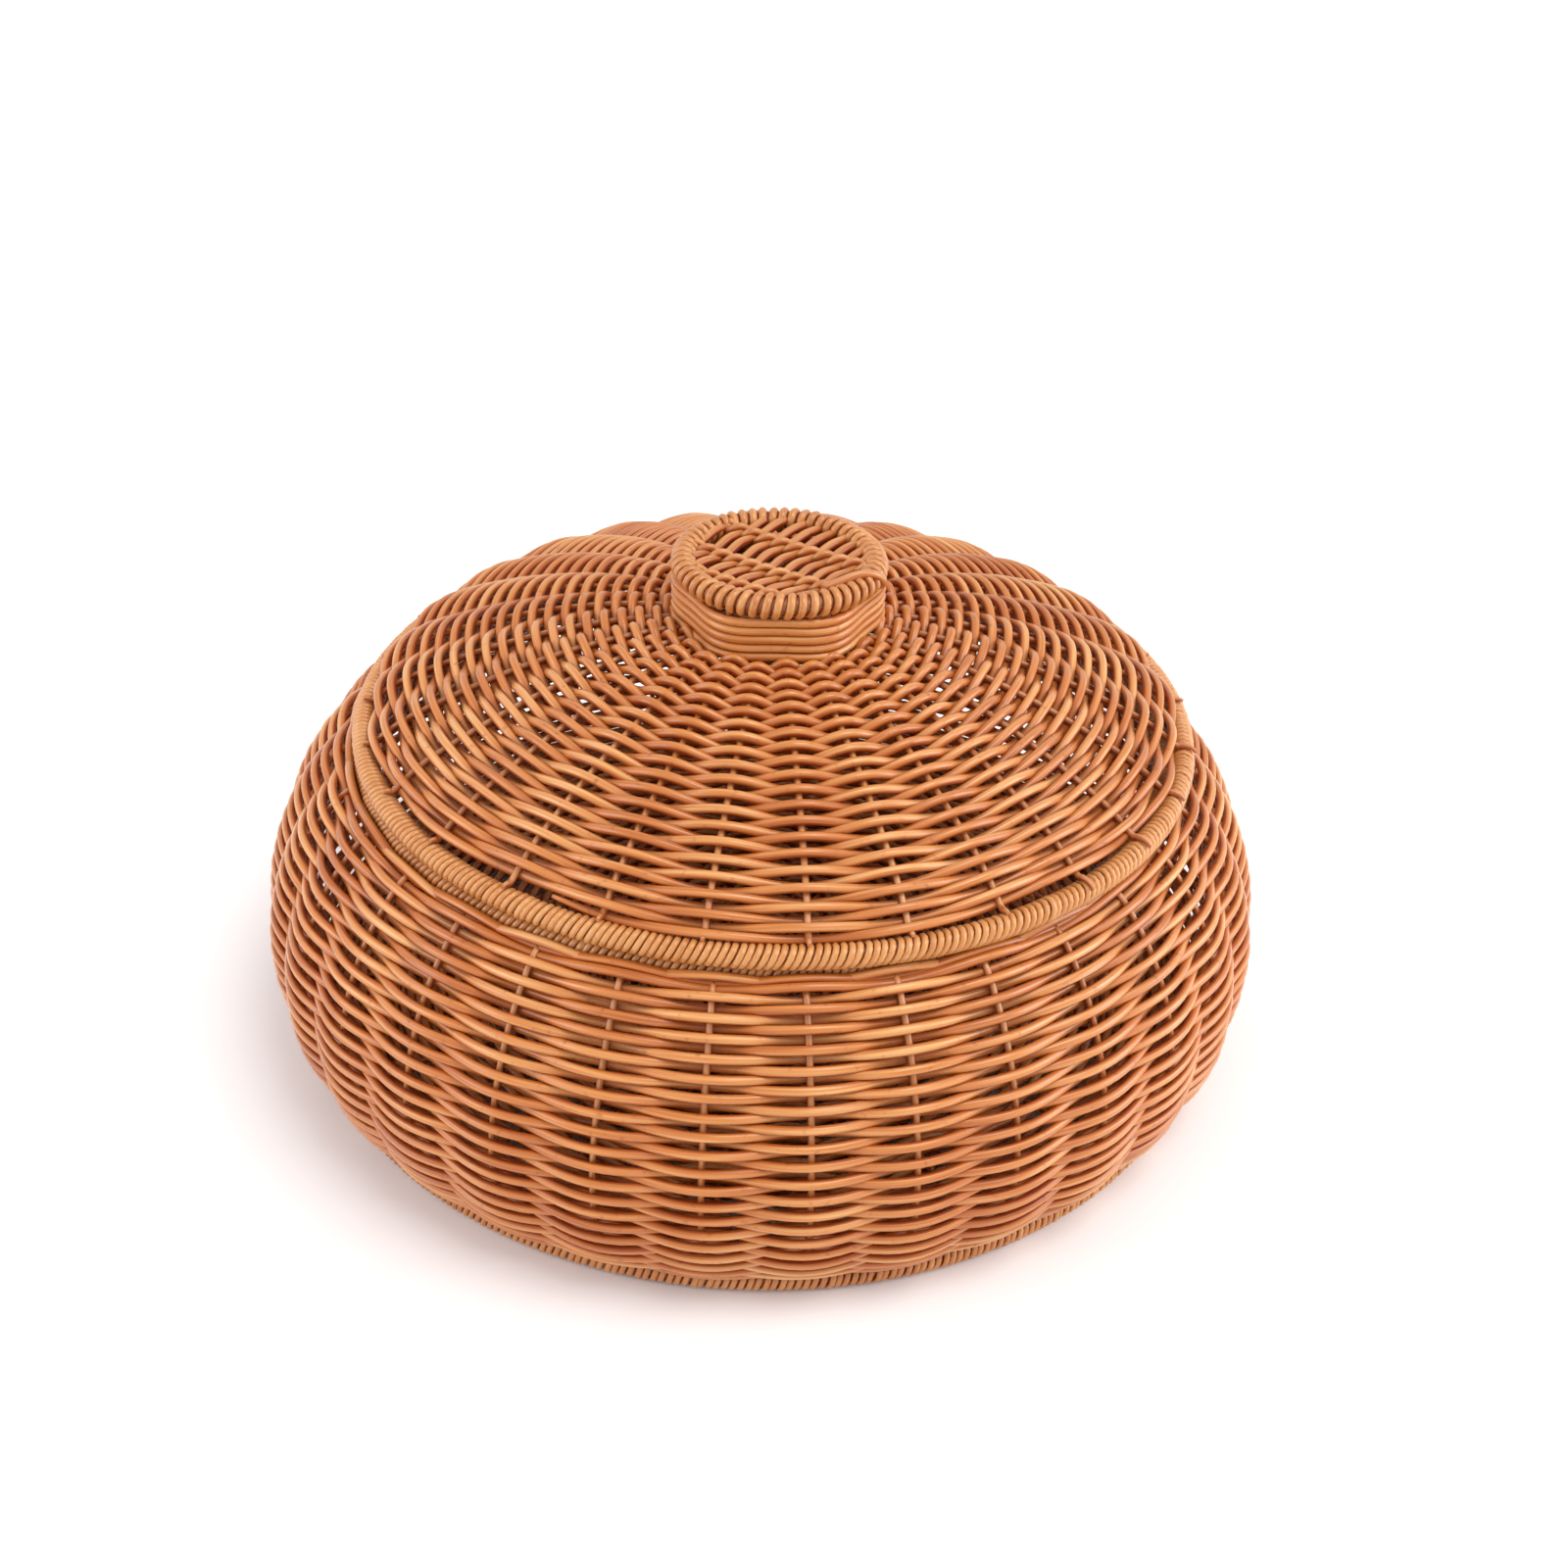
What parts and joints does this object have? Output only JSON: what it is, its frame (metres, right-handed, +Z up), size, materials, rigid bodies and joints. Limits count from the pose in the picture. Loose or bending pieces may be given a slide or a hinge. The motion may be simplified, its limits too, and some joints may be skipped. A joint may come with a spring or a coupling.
{
  "type": "lidded basket",
  "caption": "Low round basket of woven rattan cane with a bulging wall, a wrapped foot ring and a loose domed lid that lifts off by a small round wrapped knob.",
  "frame": {"origin": "centre of the foot ring, on the surface that the basket stands on", "axes": "+Z up through the knob, -Y to the side that the picture shows in front, +X to the picture's right"},
  "size_m": [0.3184, 0.3184, 0.1624],
  "materials": {
    "weaver": "satin",
    "cane": "satin",
    "wrapping": "satin",
    "hoop": "matt"
  },
  "bodies": {
    "basket": {"base_cane_01": "cane", "base_cane_02": "cane", "base_cane_03": "cane", "base_cane_04": "cane", "base_cane_05": "cane", "base_cane_06": "cane", "base_cane_07": "cane", "base_cane_08": "cane", "base_cane_09": "cane", "base_cane_10": "cane", "base_cane_11": "cane", "base_cane_12": "cane", "base_cane_13": "cane", "base_cane_14": "cane", "base_cane_15": "cane", "base_cane_16": "cane", "base_weave": "weaver", "wall_weave": "weaver", "foot_hoop": "hoop", "foot_wrapping": "wrapping", "rim_hoop": "hoop", "rim_wrapping": "wrapping"},
    "lid": {"lid_weave": "weaver", "lid_cane_01": "cane", "lid_cane_02": "cane", "lid_cane_03": "cane", "lid_cane_04": "cane", "lid_cane_05": "cane", "lid_cane_06": "cane", "lid_cane_07": "cane", "lid_cane_08": "cane", "lid_cane_09": "cane", "lid_cane_10": "cane", "lid_cane_11": "cane", "lid_cane_12": "cane", "lid_cane_13": "cane", "lid_cane_14": "cane", "lid_hoop": "hoop", "lid_wrapping": "wrapping", "neck_band": "cane", "knob_post_1": "cane", "knob_post_2": "cane", "knob_post_3": "cane", "knob_post_4": "cane", "knob_post_5": "cane", "knob_post_6": "cane", "knob_hoop": "hoop", "knob_wrapping": "wrapping", "knob_disc_weave": "weaver", "knob_cross_cane_1": "cane", "knob_cross_cane_2": "cane", "knob_cross_cane_3": "cane"}
  },
  "joints": [
    {"name": "lid_lift", "type": "slide", "parent": "basket", "child": "lid", "axis": [0, 0, 1], "range_m": [0, 0.15]}
  ]
}
